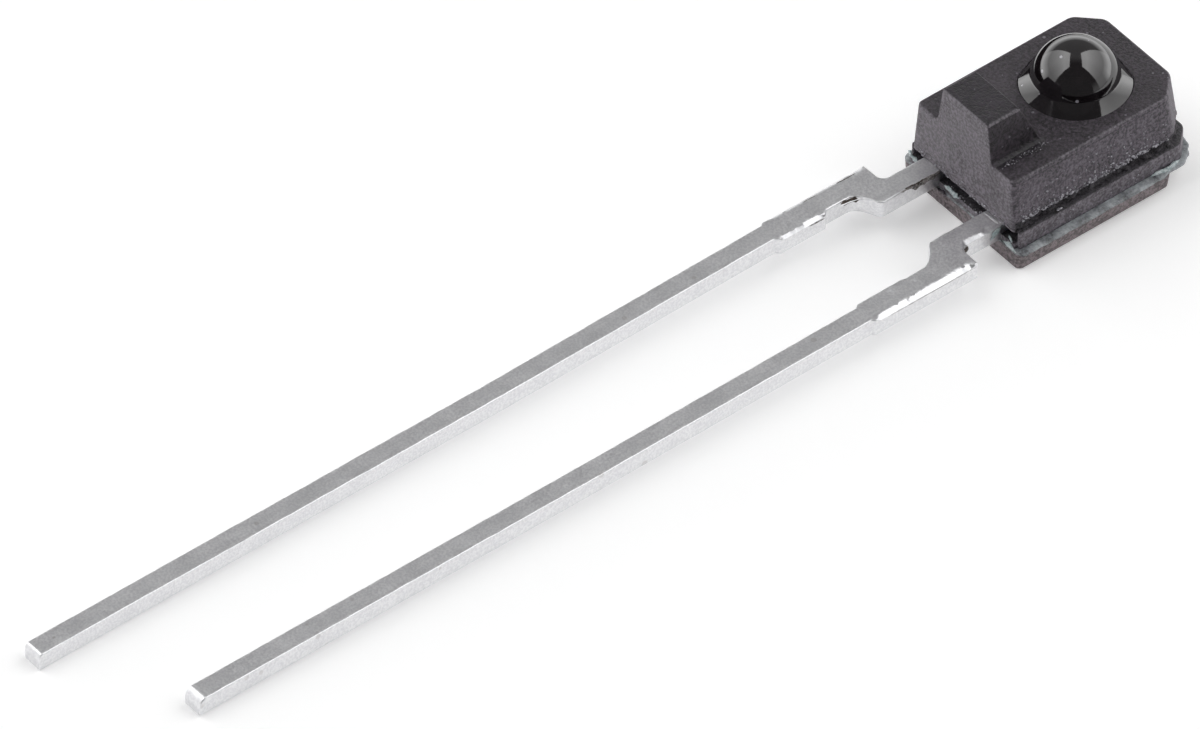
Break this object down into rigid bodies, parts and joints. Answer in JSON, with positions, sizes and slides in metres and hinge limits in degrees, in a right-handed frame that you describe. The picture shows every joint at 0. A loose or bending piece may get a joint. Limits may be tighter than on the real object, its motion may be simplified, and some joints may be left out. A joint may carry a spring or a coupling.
{
  "type": "side-view phototransistor",
  "caption": "Side-view phototransistor: black resin moulding with a dome lens and a guard rib on its face, and long flat tinned leads with a jog near the body.",
  "frame": {"origin": "foot of the lens axis on the flat back face of the moulding", "axes": "+Z along the lens axis, out of the dome; -Y the way the leads leave the moulding; +X across the leads, towards the short collector lead"},
  "size_m": [0.0032, 0.0229, 0.0026],
  "materials": {
    "body_resin": "black infrared-passing epoxy, spark-eroded matt walls and a polished lens",
    "lead_tin": "satin tin plate on a stamped lead",
    "chip_silicon": "polished silicon",
    "silver_adhesive": "silver-filled epoxy",
    "wire_gold": "drawn gold wire"
  },
  "bodies": {
    "root": {"body": "body_resin", "emitter_lead": "lead_tin", "collector_lead": "lead_tin", "chip": "chip_silicon", "die_attach": "silver_adhesive", "bond_wire": "wire_gold"}
  },
  "joints": []
}
